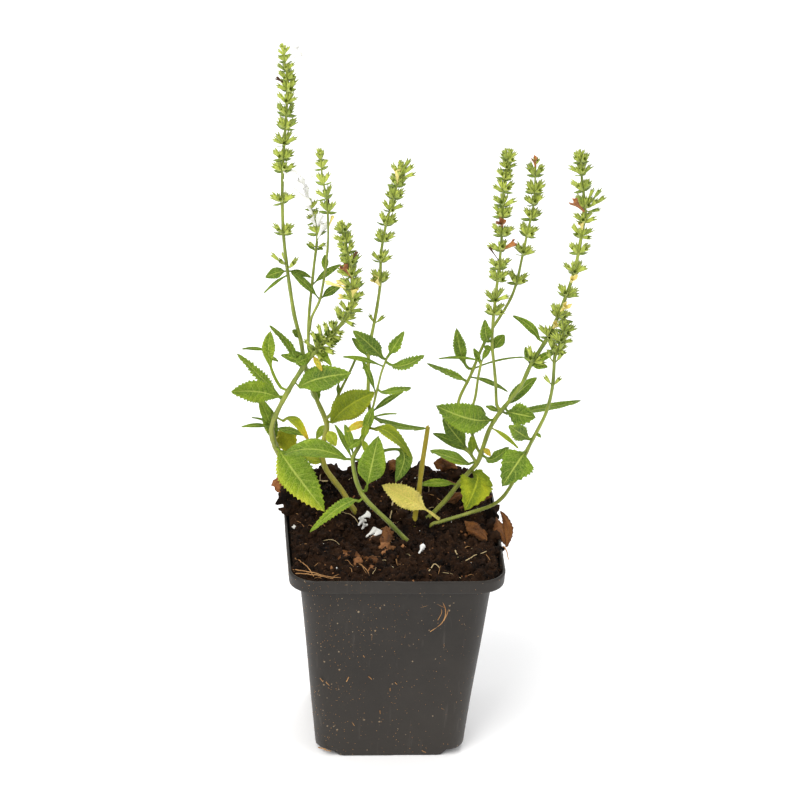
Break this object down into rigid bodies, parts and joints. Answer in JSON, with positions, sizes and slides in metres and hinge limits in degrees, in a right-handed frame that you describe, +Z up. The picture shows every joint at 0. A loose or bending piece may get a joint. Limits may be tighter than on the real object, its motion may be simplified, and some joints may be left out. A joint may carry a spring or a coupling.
{
  "type": "potted sage",
  "caption": "Flowering sage plant in a square black nursery pot: soil, square stems, upright spikes of calyxes, green and yellowing leaves; stands on its base",
  "frame": {"origin": "centre of the pot's flat underside, on the ground", "axes": "+Z up along the pot's axis and the plant's height; -Y is the side the picture shows as the front of the pot; +X is the plant's right as seen from the front; the pot's flats are square to X and Y"},
  "size_m": [0.1483, 0.09, 0.3101],
  "materials": {
    "pot_plastic": "dark warm grey moulded polypropylene, dusty and lightly scuffed",
    "peat": "moist crumbly peat with fibres and perlite",
    "stem_green": "green, slightly hairy square stem",
    "stub_olive": "olive woody stub with a brown cut end",
    "calyx_green": "bright yellow-green, ribbed and hairy",
    "leaf_fresh": "matte pebbled green leaf",
    "leaf_yellowing": "matte leaf turned yellow-green",
    "leaf_pale": "pale straw-yellow wilted leaf",
    "leaf_dead": "dry brown curled leaf"
  },
  "bodies": {
    "root": {"cut_stub": "stub_olive", "dead_leaf_curled": "leaf_dead", "dead_leaf_rim": "leaf_dead", "leaf_arched": "leaf_fresh", "leaf_crossing": "leaf_fresh", "leaf_dark_middle": "leaf_fresh", "leaf_dark_narrow": "leaf_fresh", "leaf_dark_upright": "leaf_fresh", "leaf_drooping_yellow": "leaf_yellowing", "leaf_folded_over": "leaf_fresh", "leaf_folded_tip": "leaf_fresh", "leaf_front_right": "leaf_fresh", "leaf_front_upper": "leaf_fresh", "leaf_hanging_left": "leaf_fresh", "leaf_hanging_yellow": "leaf_yellowing", "leaf_left_broad": "leaf_fresh", "leaf_left_curved": "leaf_fresh", "leaf_left_serrated": "leaf_fresh", "leaf_left_upright": "leaf_fresh", "leaf_long_curved": "leaf_fresh", "leaf_long_right": "leaf_fresh", "leaf_low_front": "leaf_fresh", "leaf_low_right": "leaf_fresh", "leaf_olive": "leaf_yellowing", "leaf_outer_inner": "leaf_fresh", "leaf_pale_fallen": "leaf_pale", "leaf_right_dark": "leaf_fresh", "leaf_right_folded": "leaf_fresh", "leaf_right_thin": "leaf_fresh", "leaf_right_upright": "leaf_fresh", "leaf_round_front": "leaf_fresh", "leaf_round_hanging": "leaf_fresh", "leaf_serrated_tip": "leaf_fresh", "leaf_turning": "leaf_yellowing", "leaf_veined": "leaf_fresh", "leaf_yellow_back": "leaf_yellowing", "pot": "pot_plastic", "soil": "peat", "spike_back_1": "calyx_green", "spike_back_2": "calyx_green", "spike_front": "calyx_green", "spike_left": "calyx_green", "spike_outer": "calyx_green", "spike_right": "calyx_green", "spike_right_back": "calyx_green", "spike_right_up": "calyx_green", "spike_tall": "calyx_green", "stem_back_1": "stem_green", "stem_back_2": "stem_green", "stem_front": "stem_green", "stem_front_side": "stem_green", "stem_left": "stem_green", "stem_outer": "stem_green", "stem_right": "stem_green", "stem_right_back": "stem_green", "stem_right_shoot": "stem_green", "stem_right_up": "stem_green", "stem_tall": "stem_green", "stem_tall_side": "stem_green"}
  },
  "joints": []
}
